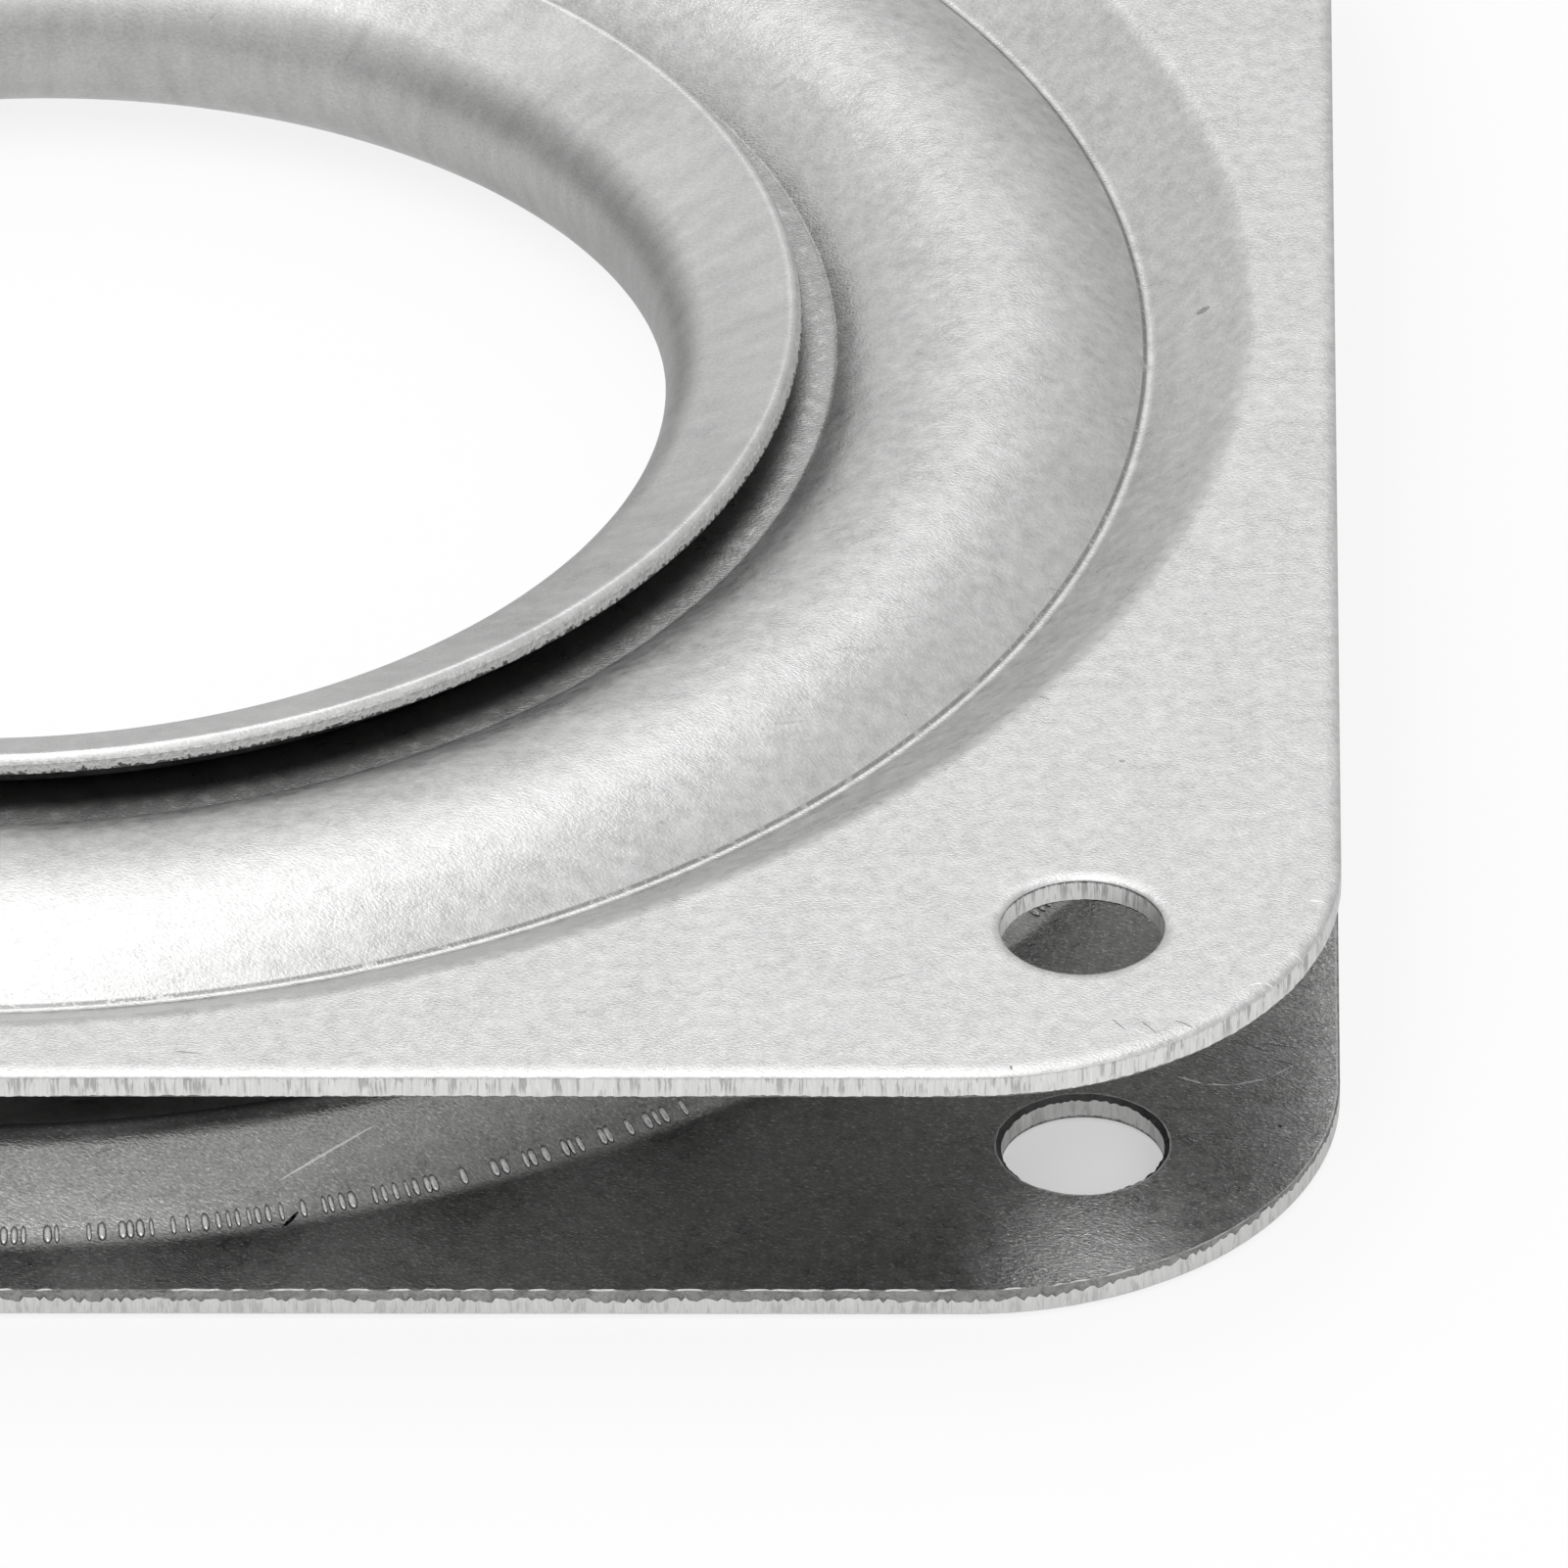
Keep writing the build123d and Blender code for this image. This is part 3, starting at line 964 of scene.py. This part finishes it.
def pressed_plate(scene, plate, section, cut_ends):
    """A plate: the square rim with its cut edges and the turned middle. The upper one is turned over."""
    s, e = scene.bearing_plate, scene.bearing_edge
    d = plate_layout(s)
    name = plate + "_plate_sheet"
    materials = plate_materials(scene, plate)
    rng = np.random.default_rng(EDGE_SEEDS[plate])
    parts = MeshParts()
    corner = s.hole_spacing / 2
    corners = [(x, y) for x in (-corner, corner) for y in (-corner, corner)]
    outline, outward = square_outline(s, e)
    roll, teeth, tear = EDGE_SHARES[plate]
    outer = cut_edge(parts, s, e, outline, outward, rng, roll, 1.0, teeth, tear * outward[:, 1] ** 4)
    holes = []
    for place in corners:
        rim, into = hole_outline(s, e, place)
        torn = np.full(len(rim), HOLE_TEAR * tear)
        holes.append(cut_edge(parts, s, e, rim, into, rng, e.hole_roll, 0.0, HOLE_TEETH * teeth, torn))
    ring = d.join_r * rays(np.arange(s.segments) * 2 * pi / s.segments)
    for side, level in enumerate((0, s.sheet)):
        circle = np.column_stack([ring, np.full(s.segments, level)])
        fill_flat(parts, outer[side], [hole[side] for hole in holes] + [circle])

    section = with_supports(section, SUPPORT_PAD, LONG_RUN)
    cut = sorted(nearest(section, point) for point in cut_ends)
    middle = turned_ring(name + "_ring", section, cut, s.segments, materials)
    mesh = bpy.data.meshes.new(name)
    mesh.from_pydata(parts.points, [], parts.faces)
    mesh.polygons.foreach_set("material_index", parts.kinds)
    shape = bmesh.new()
    shape.from_mesh(mesh)
    rim_faces = len(shape.faces)
    shape.from_mesh(middle)
    kinds = [materials.index(material) if material else 0 for material in middle.materials]
    for face in list(shape.faces)[rim_faces:]:
        face.material_index = kinds[face.material_index]
    bmesh.ops.remove_doubles(shape, verts=shape.verts, dist=JOIN_REACH)
    loose = [v for v in shape.verts if not v.link_faces]
    bmesh.ops.delete(shape, geom=loose, context="VERTS")
    if plate == "upper":
        for vert in shape.verts:
            vert.co.z = s.height - vert.co.z
    bmesh.ops.recalc_face_normals(shape, faces=shape.faces)
    if shape.calc_volume(signed=True) < 0:
        bmesh.ops.reverse_faces(shape, faces=shape.faces)
    for face in shape.faces:
        face.smooth = True
    shape.to_mesh(mesh)
    shape.free()
    bpy.data.meshes.remove(middle)
    mesh.set_sharp_from_angle(angle=SHARP_ANGLE)
    return new_piece(name, mesh, materials)


def settle(piece, body, nodes=()):
    """Says which body a piece rides on, and hides the nodes that it stands for."""
    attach(piece, body)
    if nodes:
        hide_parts(*nodes)


class MakeUpperPlate(bpy.types.Operator):
    """Builds the plate that turns, outer face up."""

    bl_idname = "bearing.make_upper_plate"
    bl_label = "Upper plate"

    def execute(self, context):
        s = context.scene.bearing_plate
        d = plate_layout(s)
        cut_ends = [(d.flange_edge_r, s.race_depth + depth) for depth in (s.lip_round, s.sheet)]
        piece = pressed_plate(context.scene, "upper", upper_section(s, d), cut_ends)
        settle(piece, "upper", ["upper_plate"])
        return {"FINISHED"}


class MakeLowerPlate(bpy.types.Operator):
    """Builds the plate that rests, with the tube whose lip holds the bearing together."""

    bl_idname = "bearing.make_lower_plate"
    bl_label = "Lower plate"

    def execute(self, context):
        s = context.scene.bearing_plate
        d = plate_layout(s)
        off = Vector((sin(s.lip_slope), -cos(s.lip_slope)))
        lip = Vector((d.lip_edge_r, d.lip_top))
        cut_ends = [lip + depth * off for depth in (s.lip_round, s.tube_wall)]
        piece = pressed_plate(context.scene, "lower", lower_section(s, d), cut_ends)
        settle(piece, "lower", ["lower_plate"])
        return {"FINISHED"}


def ball_tree():
    """Tree that sets balls evenly round a ring."""
    kinds = {"Count": "Int", "Ring radius": "Float", "Ball radius": "Float", "Level": "Float"}
    g, given = node_group("ball ring", kinds | {"Material": "Material"})
    sockets = {"Vertices": given["Count"], "Radius": given["Ring radius"]}
    ring = g.add("GeometryNodeMeshCircle", None, sockets)
    sockets = {"Radius": given["Ball radius"], "Subdivisions": 5}
    ball = g.add("GeometryNodeMeshIcoSphere", None, sockets, "Mesh")
    placed = g.add("GeometryNodeInstanceOnPoints", None, {"Points": ring, "Instance": ball})
    lift = g.joined(0.0, 0.0, given["Level"])
    raised = g.add("GeometryNodeTransform", None, {"Geometry": placed, "Translation": lift})
    return end_tree(g, raised, given["Material"])


class MakeBalls(bpy.types.Operator):
    """Sets the loose balls in the race."""

    bl_idname = "bearing.make_balls"
    bl_label = "Balls"

    def execute(self, context):
        scene = context.scene
        b = scene.bearing_ball
        values = {
            "Count": b.count,
            "Ring radius": b.ring_radius,
            "Ball radius": b.diameter / 2,
            "Level": b.level,
            "Material": ball_finish("polished_ball", scene),
        }
        mesh = grown("ball_set", bpy.data.meshes.new("ball_seed"), ball_tree(), values)
        settle(new_piece("ball_set", mesh), "ball_ring", BALL_NODES)
        return {"FINISHED"}


def press_mark(s, d, m):
    """One raised press mark across the bend of the step, at angle 0: a drop with a sunk rim."""
    bend, spokes = inner_bend(s, d)
    up = np.array([-cos(step_slope(s)), sin(step_slope(s))])
    stations = [bend[i] for i in (4, 5, 6, 8)] + [bend[9] + far * m.reach * up for far in (0.4, 1.0)]
    normals = [-spokes[i] for i in (4, 5, 6, 8, 9, 9)]
    swell = (-0.4, 0.65, 1.0, 1.0, 0.6, -0.4)
    spread = (0.15, 0.6, 0.9, 1.0, 0.9, 0.4)
    ridge = ((-1.0, -0.35), (-0.5, 0.5), (0.0, 1.0), (0.5, 0.5), (1.0, -0.35))
    points, crests = [], []
    for station, normal, high, wide in zip(stations, normals, swell, spread):
        for across, crest in ridge:
            place = station + normal * m.rise * min(high, crest * max(high, 0.4))
            points.append((place[0], across * wide * m.width / 2, place[1]))
            crests.append(max(0.0, high) * (1 - abs(across)))
    rows, columns = len(stations), len(ridge)
    corners = [i * columns + j for i in range(rows - 1) for j in range(columns - 1)]
    faces = [(at, at + 1, at + columns + 1, at + columns) for at in corners]
    rim = [*range(columns), *range(2 * columns - 1, rows * columns, columns)]
    rim += range(rows * columns - 2, (rows - 1) * columns - 1, -1)
    rim += range((rows - 2) * columns, 0, -columns)
    faces.append(tuple(rim))
    mesh = bpy.data.meshes.new("press_mark")
    mesh.from_pydata(points, [], faces)
    mesh.attributes.new("crest", "FLOAT", "POINT").data.foreach_set("value", crests)
    shape = bmesh.new()
    shape.from_mesh(mesh)
    bmesh.ops.recalc_face_normals(shape, faces=shape.faces)
    shape.to_mesh(mesh)
    shape.free()
    return mesh


def mark_tree():
    """Tree that strews press marks round the axis at uneven steps."""
    kinds = {"Count": "Int", "Share": "Float", "Seed": "Int", "Material": "Material"}
    g, given = node_group("press marks", kinds)
    points = g.add("GeometryNodePoints", None, {"Count": given["Count"]})
    index = g.add("GeometryNodeInputIndex")
    seed = given["Seed"]

    def draw(kind, sockets):
        """A random value for every place."""
        return g.add("FunctionNodeRandomValue", {"data_type": kind}, sockets, "Value")

    shift = draw("FLOAT", {"Min": -0.25, "Max": 0.25, "Seed": seed})
    turn = (index + shift) / given["Count"] * (2 * pi)
    width = draw("FLOAT", {"Min": 0.55, "Max": 1.1, "Seed": seed + 1})
    chosen = draw("BOOLEAN", {"Probability": given["Share"], "Seed": seed + 2})
    clear = g.math("ABSOLUTE", g.math("COSINE", turn * 2.0)) > CORNER_CLEARANCE
    sockets = {
        "Points": points,
        "Selection": chosen * clear,
        "Instance": given["Geometry"],
        "Rotation": g.joined(0.0, 0.0, turn),
        "Scale": g.joined(1.0, width, 1.0),
    }
    placed = g.add("GeometryNodeInstanceOnPoints", None, sockets)
    return end_tree(g, placed, given["Material"])


class MakePressMarks(bpy.types.Operator):
    """Strews the marks that the press left along the bend of each step."""

    bl_idname = "bearing.make_press_marks"
    bl_label = "Press marks"

    def execute(self, context):
        scene = context.scene
        s, m = scene.bearing_plate, scene.bearing_mark
        d = plate_layout(s)
        painted_mark_finish = mark_finish("press_mark", scene)
        turned_over = Matrix.Translation((0, 0, s.height)) @ Matrix.Rotation(pi, 4, "X")
        for body, place in (("lower", Matrix()), ("upper", turned_over)):
            values = {"Count": m.count, "Share": m.share, "Seed": MARK_SEEDS[body], "Material": painted_mark_finish}
            mesh = grown(body + "_press_marks", press_mark(s, d, m), mark_tree(), values)
            mesh.transform(place)
            settle(new_piece(body + "_press_marks", mesh), body)
        return {"FINISHED"}


def seen_directly(g):
    """1 for what the camera sees itself, in metal or through glass, and 0 for light that falls elsewhere."""
    rays = ("Is Camera Ray", "Is Glossy Ray", "Is Transmission Ray")
    camera, glossy, through = (g.add("ShaderNodeLightPath", None, None, ray) for ray in rays)
    return g.math("MAXIMUM", g.math("MAXIMUM", camera, glossy), through)


def studio_world(colours):
    """A white room: bright before, behind and over the bearing, dimmer to the sides."""
    world = bpy.data.worlds.new("studio")
    world.use_nodes = True
    g = Graph(world.node_tree)
    g.tree.nodes.clear()
    x, y, z = g.split(g.add("ShaderNodeTexCoord", None, None, "Generated"))
    level = g.math("MAXIMUM", g.math("SQRT", x * x + y * y), 0.001)
    ahead = y / level
    side = 0 - x / level
    fading = 2.4 - 1.6 * g.rise(z, 0.0, 0.3) - 0.3 * g.rise(z, 0.3, 0.55) - 0.5 * g.rise(z, 0.6, 0.95)
    back = g.rise(ahead, 0.72, 1.0) * fading
    front = g.rise(ahead, -0.2, -0.9) * (1 - g.rise(z, 0.75, 1.0))
    window = g.rise(side, 0.2, 0.5) * g.rise(side, 0.95, 0.7) * (y > 0.0) * g.rise(z, 0.75, 0.5)
    right = g.rise(side, -0.4, -0.8) * g.rise(z, 0.7, 0.4)
    top = g.rise(z, 0.15, 0.85)
    glow = 0.38 + 0.29 * back + 0.5 * front + 0.2 * window + 0.12 * right + 0.36 * top
    light = g.add("ShaderNodeBackground", None, {"Color": (*colours.sky, 1), "Strength": glow})
    g.add("ShaderNodeOutputWorld", None, {"Surface": light})
    return world


def floor_finish(colours):
    """Matt pale floor that looks white where it is lit and keeps a soft shadow."""
    f = Finish("pale_floor")
    tone = 1 + 0.01 * f.noise(f.place, 0.02)
    paint = f.scaled(tuple(colours.floor), tone)
    sockets = {"Base Color": paint, "Roughness": 0.9, "Specular IOR Level": 0.0}
    matt = f.add("ShaderNodeBsdfPrincipled", None, sockets)
    white = f.add("ShaderNodeEmission", None, {"Color": (*colours.sky, 1), "Strength": 1.0})
    # The squares of the distances between which the floor under the opening is painted brighter
    outside, within = 550.0, 400.0
    opening = f.rise(f.x * f.x + f.y * f.y, outside, within)
    # Painted light: more white under the opening, and less under the screw holes, where the floor's own
    # shadow shows
    lift = (0.8 + 0.13 * opening - 0.46 * f.near_hole()) * seen_directly(f)
    shown = f.add("ShaderNodeMixShader", None, {0: lift, 1: matt, 2: white})
    f.add("ShaderNodeOutputMaterial", None, {"Surface": shown})
    return f.material


def camera_pose(t):
    """Place and turn of the camera, from its eye, yaw, pitch and roll."""
    ahead = Vector((sin(t.yaw) * cos(t.pitch), cos(t.yaw) * cos(t.pitch), -sin(t.pitch)))
    right = Vector((cos(t.yaw), -sin(t.yaw), 0))
    down = ahead.cross(right)
    leant = cos(t.roll) * right + sin(t.roll) * down
    below = cos(t.roll) * down - sin(t.roll) * right
    turn = Matrix((leant, -below, -ahead)).transposed().to_4x4()
    return Matrix.Translation(t.eye) @ turn


class MakeStage(bpy.types.Operator):
    """Lays the floor, sets the lamps and the light of the studio, and places the camera."""

    bl_idname = "bearing.make_stage"
    bl_label = "Stage"

    def execute(self, context):
        scene = context.scene
        t, colours = scene.bearing_stage, scene.bearing_colour
        half = t.floor_side / 2
        level = CAD_LOW.z - t.floor_gap
        mesh = bpy.data.meshes.new("floor")
        corners = [(-half, -half, level), (half, -half, level), (half, half, level), (-half, half, level)]
        mesh.from_pydata(corners, [], [(0, 1, 2, 3)])
        new_piece("floor", mesh, [floor_finish(colours)])
        for name, lamp in LAMPS.items():
            light = bpy.data.lights.new(name, "AREA")
            light.shape = "RECTANGLE"
            light.size, light.size_y = lamp["size"]
            light.energy = lamp["power"]
            shown = bpy.data.objects.new(name, light)
            shown.location = lamp["place"]
            shown.visible_camera = False
            scene.collection.objects.link(shown)
        scene.world = studio_world(colours)
        scene.view_settings.view_transform = "Standard"
        camera = bpy.data.cameras.new("camera")
        camera.lens = t.lens
        camera.sensor_width = t.sensor
        eye = bpy.data.objects.new("camera", camera)
        eye.matrix_world = camera_pose(t)
        scene.collection.objects.link(eye)
        scene.camera = eye
        return {"FINISHED"}


OPERATORS = [MakeUpperPlate, MakeLowerPlate, MakeBalls, MakePressMarks, MakeStage]


class BearingPanel(bpy.types.Panel):
    """Lists the pieces of the bearing and the sizes that can be changed."""

    bl_idname = "VIEW3D_PT_bearing"
    bl_label = "Lazy susan bearing"
    bl_space_type = "VIEW_3D"
    bl_region_type = "UI"
    bl_category = "Bearing"

    def draw(self, context):
        for operator in OPERATORS:
            self.layout.operator(operator.bl_idname)
        for group in PROPERTY_GROUPS:
            settings = getattr(context.scene, group)
            box = self.layout.box()
            for name in settings.bl_rna.properties.keys():
                if name not in ("rna_type", "name"):
                    box.prop(settings, name)


CLASSES = [*PROPERTY_GROUPS.values(), *OPERATORS, BearingPanel]


def register():
    for kind in CLASSES:
        bpy.utils.register_class(kind)
    for name, group in PROPERTY_GROUPS.items():
        setattr(bpy.types.Scene, name, PointerProperty(type=group))


def unregister():
    for name in PROPERTY_GROUPS:
        delattr(bpy.types.Scene, name)
    for kind in reversed(CLASSES):
        bpy.utils.unregister_class(kind)


def main():
    register()
    bpy.ops.bearing.make_upper_plate()
    bpy.ops.bearing.make_lower_plate()
    bpy.ops.bearing.make_balls()
    bpy.ops.bearing.make_press_marks()
    bpy.ops.bearing.make_stage()


if __name__ == "__main__":
    main()
